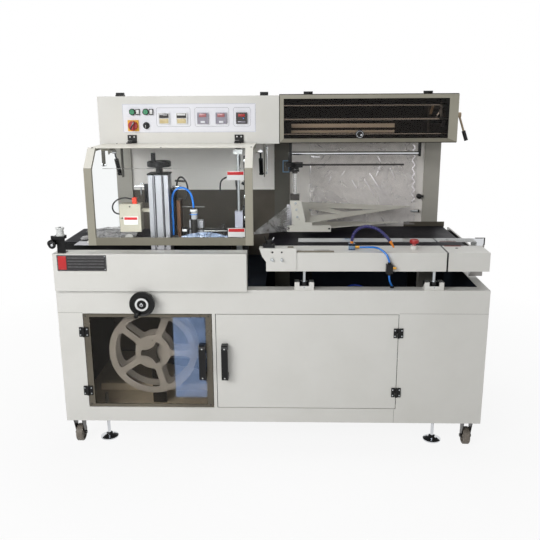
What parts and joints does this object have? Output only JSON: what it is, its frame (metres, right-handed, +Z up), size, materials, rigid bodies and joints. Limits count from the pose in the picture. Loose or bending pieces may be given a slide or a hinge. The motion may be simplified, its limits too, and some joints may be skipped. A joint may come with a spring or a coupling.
{
  "type": "side_sealer",
  "caption": "Free-standing automatic side sealer: ivory base cabinet with waste film reel, acrylic safety hood, overhead control box, film housing, infeed and outfeed belts.",
  "frame": {"origin": "centre of the machine's footprint on the floor, under its levelling feet", "axes": "+X to the right along the film and belt line as seen by the operator, +Y away from the operator, +Z up"},
  "size_m": [1.7689, 0.897, 1.4595],
  "materials": {
    "ivory_paint": "semi-gloss ivory powder coat",
    "beige_paint": "satin beige coat on hood and film door frames",
    "white_panel": "printed polyester overlay",
    "black_plastic": "moulded black plastic",
    "belt_rubber": "matte black belting",
    "wheel_rubber": "dark grey tread",
    "zinc": "bright zinc plate",
    "stainless": "brushed stainless",
    "chrome_plate": "polished chrome",
    "profile_aluminium": "anodised extrusion",
    "clear_acrylic": "clear sheet",
    "tinted_acrylic": "smoke tinted sheet",
    "film_plastic": "clear shrink film",
    "reel_white": "white moulding",
    "green_plastic": "translucent green cap",
    "red_plastic": "red moulding",
    "hose_blue": "deep blue segments",
    "tube_blue": "light blue tube",
    "cable_black": "black cable",
    "nylon_white": "white nylon",
    "grey_plastic": "grey box"
  },
  "bodies": {
    "frame": {"base_front": "ivory_paint", "base_shell": "ivory_paint", "left_cover": "ivory_paint", "hinge_leaves": "black_plastic", "columns": "ivory_paint", "back_wall": "ivory_paint", "control_box": "ivory_paint", "control_panel": "white_panel", "film_housing": "ivory_paint", "film_rods": "stainless", "outfeed_frame": "stainless", "outfeed_belt": "belt_rubber", "infeed_frame": "stainless", "infeed_belt": "belt_rubber", "infeed_cover": "ivory_paint", "seal_post": "profile_aluminium", "junction_box": "grey_plastic", "guide_rod": "profile_aluminium", "air_valve": "zinc", "air_hose": "hose_blue", "air_tube": "tube_blue", "box_cable": "cable_black", "film_web": "film_plastic"},
    "hood": {"hood_frame": "beige_paint", "hood_window": "clear_acrylic"},
    "strut_tube_pair": {"strut_tubes": "black_plastic"},
    "strut_rod_pair": {"strut_rods": "chrome_plate"},
    "film_door": {"film_door": "beige_paint", "film_door_window": "tinted_acrylic"},
    "reel_door": {"reel_door": "beige_paint", "reel_door_window": "tinted_acrylic"},
    "cabinet_door": {"cabinet_door": "ivory_paint"},
    "waste_reel": {"waste_reel": "reel_white"},
    "front_handwheel": {"front_handwheel": "black_plastic"},
    "handwheel_grip": {"handwheel_grip": "black_plastic"},
    "post_handwheel": {"post_handwheel": "black_plastic"},
    "seal_head": {"seal_head": "chrome_plate", "head_hose": "tube_blue"},
    "forming_screw": {"forming_rod": "zinc", "palm_knob": "black_plastic"},
    "forming_head": {"forming_head": "profile_aluminium"},
    "green_button_left": {"green_button_left": "green_plastic"},
    "green_button_right": {"green_button_right": "green_plastic"},
    "main_switch": {"main_switch": "red_plastic"},
    "selector_knob": {"selector_knob": "black_plastic"},
    "estop_button": {"estop_button": "red_plastic"},
    "clamp_lever": {"clamp_lever": "black_plastic"},
    "levelling_feet": {"levelling_feet": "zinc"},
    "nylon_roller": {"nylon_roller": "nylon_white"},
    "outfeed_roller": {"outfeed_roller": "stainless"},
    "infeed_roller": {"infeed_roller": "stainless"},
    "film_roller": {"film_roller": "chrome_plate"},
    "caster_front_left": {"fork_front_left": "zinc"},
    "caster_wheel_front_left": {"wheel_front_left": "wheel_rubber"},
    "caster_front_right": {"fork_front_right": "zinc"},
    "caster_wheel_front_right": {"wheel_front_right": "wheel_rubber"},
    "caster_rear_left": {"fork_rear_left": "zinc"},
    "caster_wheel_rear_left": {"wheel_rear_left": "wheel_rubber"},
    "caster_rear_right": {"fork_rear_right": "zinc"},
    "caster_wheel_rear_right": {"wheel_rear_right": "wheel_rubber"}
  },
  "joints": [
    {"name": "hood_swing", "type": "hinge", "parent": "frame", "child": "hood", "pos_m": [-0.386, -0.027, 1.256], "axis": [-1, 0, 0], "range_deg": [0, 60]},
    {"name": "strut_swing", "type": "hinge", "parent": "frame", "child": "strut_tube_pair", "pos_m": [-0.35, -0.007, 1.12], "axis": [-1, 0, 0], "range_deg": [0, 9.6]},
    {"name": "strut_slide", "type": "slide", "parent": "strut_tube_pair", "child": "strut_rod_pair", "axis": [0, -0.5812, 0.8137], "range_m": [0, 0.0579]},
    {"name": "film_door_swing", "type": "hinge", "parent": "frame", "child": "film_door", "pos_m": [0.406, -0.002, 1.455], "axis": [-1, 0, 0], "range_deg": [0, 90]},
    {"name": "reel_door_swing", "type": "hinge", "parent": "frame", "child": "reel_door", "pos_m": [-0.75425, -0.357, 0.395], "axis": [0, 0, -1], "range_deg": [0, 110]},
    {"name": "cabinet_door_swing", "type": "hinge", "parent": "frame", "child": "cabinet_door", "pos_m": [0.51225, -0.357, 0.395], "axis": [0, 0, 1], "range_deg": [0, 110]},
    {"name": "waste_reel_spin", "type": "hinge", "parent": "frame", "child": "waste_reel", "pos_m": [-0.4935, -0.24, 0.408], "axis": [0, 1, 0], "continuous": true},
    {"name": "front_handwheel_turn", "type": "hinge", "parent": "frame", "child": "front_handwheel", "pos_m": [-0.5015, -0.392, 0.653], "axis": [0, 1, 0], "continuous": true},
    {"name": "handwheel_grip_spin", "type": "hinge", "parent": "front_handwheel", "child": "handwheel_grip", "pos_m": [-0.5175, -0.426, 0.617], "axis": [0, 1, 0], "continuous": true},
    {"name": "seal_head_lift", "type": "slide", "parent": "frame", "child": "seal_head", "axis": [0, 0, 1], "range_m": [0, 0.04]},
    {"name": "post_handwheel_turn", "type": "hinge", "parent": "frame", "child": "post_handwheel", "pos_m": [-0.4365, -0.252, 1.185], "axis": [0, 0, 1], "range_deg": [0, 1440]},
    {"name": "forming_head_lift", "type": "slide", "parent": "frame", "child": "forming_head", "axis": [0, 0, 1], "range_m": [0, 0.03]},
    {"name": "forming_screw_turn", "type": "hinge", "parent": "frame", "child": "forming_screw", "pos_m": [0.0995, 0.018, 1.145], "axis": [0, 0, 1], "range_deg": [0, 1080]},
    {"name": "green_button_left_press", "type": "slide", "parent": "frame", "child": "green_button_left", "axis": [0, 1, 0], "range_m": [0, 0.003], "stiffness_N_per_m": 400},
    {"name": "green_button_right_press", "type": "slide", "parent": "frame", "child": "green_button_right", "axis": [0, 1, 0], "range_m": [0, 0.003], "stiffness_N_per_m": 400},
    {"name": "main_switch_turn", "type": "hinge", "parent": "frame", "child": "main_switch", "pos_m": [-0.5825, -0.032, 1.324], "axis": [0, 1, 0], "range_deg": [0, 90]},
    {"name": "selector_turn", "type": "hinge", "parent": "frame", "child": "selector_knob", "pos_m": [-0.5275, -0.032, 1.324], "axis": [0, 1, 0], "range_deg": [-45, 45]},
    {"name": "estop_press", "type": "slide", "parent": "frame", "child": "estop_button", "axis": [0, 0, -1], "range_m": [0, 0.005], "stiffness_N_per_m": 500, "springref_m": -0.001},
    {"name": "clamp_lever_turn", "type": "hinge", "parent": "frame", "child": "clamp_lever", "pos_m": [0.7845, 0.028, 1.36], "axis": [1, 0, 0], "range_deg": [-30, 90]},
    {"name": "caster_swivel_front_left", "type": "hinge", "parent": "frame", "child": "caster_front_left", "pos_m": [-0.8215, -0.304, 0.1], "axis": [0, 0, 1], "continuous": true},
    {"name": "caster_roll_front_left", "type": "hinge", "parent": "caster_front_left", "child": "caster_wheel_front_left", "pos_m": [-0.8215, -0.282, 0.039], "axis": [1, 0, 0], "continuous": true},
    {"name": "caster_swivel_front_right", "type": "hinge", "parent": "frame", "child": "caster_front_right", "pos_m": [0.8245, -0.304, 0.1], "axis": [0, 0, 1], "continuous": true},
    {"name": "caster_roll_front_right", "type": "hinge", "parent": "caster_front_right", "child": "caster_wheel_front_right", "pos_m": [0.8245, -0.282, 0.039], "axis": [1, 0, 0], "continuous": true},
    {"name": "caster_swivel_rear_left", "type": "hinge", "parent": "frame", "child": "caster_rear_left", "pos_m": [-0.8215, 0.39, 0.1], "axis": [0, 0, 1], "continuous": true},
    {"name": "caster_roll_rear_left", "type": "hinge", "parent": "caster_rear_left", "child": "caster_wheel_rear_left", "pos_m": [-0.8215, 0.412, 0.039], "axis": [1, 0, 0], "continuous": true},
    {"name": "caster_swivel_rear_right", "type": "hinge", "parent": "frame", "child": "caster_rear_right", "pos_m": [0.8245, 0.39, 0.1], "axis": [0, 0, 1], "continuous": true},
    {"name": "caster_roll_rear_right", "type": "hinge", "parent": "caster_rear_right", "child": "caster_wheel_rear_right", "pos_m": [0.8245, 0.412, 0.039], "axis": [1, 0, 0], "continuous": true},
    {"name": "levelling_feet_lift", "type": "slide", "parent": "frame", "child": "levelling_feet", "axis": [0, 0, 1], "range_m": [0, 0.015]},
    {"name": "nylon_roller_spin", "type": "hinge", "parent": "frame", "child": "nylon_roller", "pos_m": [-0.8195, -0.348, 0.933], "axis": [0, 0, 1], "continuous": true},
    {"name": "outfeed_roller_spin", "type": "hinge", "parent": "frame", "child": "outfeed_roller", "pos_m": [-0.86395, -0.031, 0.83445], "axis": [0, 1, 0], "continuous": true},
    {"name": "infeed_roller_spin", "type": "hinge", "parent": "frame", "child": "infeed_roller", "pos_m": [0.78895, 0.03, 0.82245], "axis": [0, 1, 0], "continuous": true},
    {"name": "film_roller_spin", "type": "hinge", "parent": "frame", "child": "film_roller", "pos_m": [0.3615, 0.078, 1.198], "axis": [1, 0, 0], "continuous": true}
  ],
  "couplings": [
    {"joint": "strut_swing", "follows": "hood_swing", "ratio": 0.16},
    {"joint": "strut_slide", "follows": "hood_swing", "m_per_rad": 0.0552},
    {"joint": "post_handwheel_turn", "follows": "seal_head_lift", "rad_per_m": 628.3},
    {"joint": "forming_screw_turn", "follows": "forming_head_lift", "rad_per_m": 628.3}
  ]
}
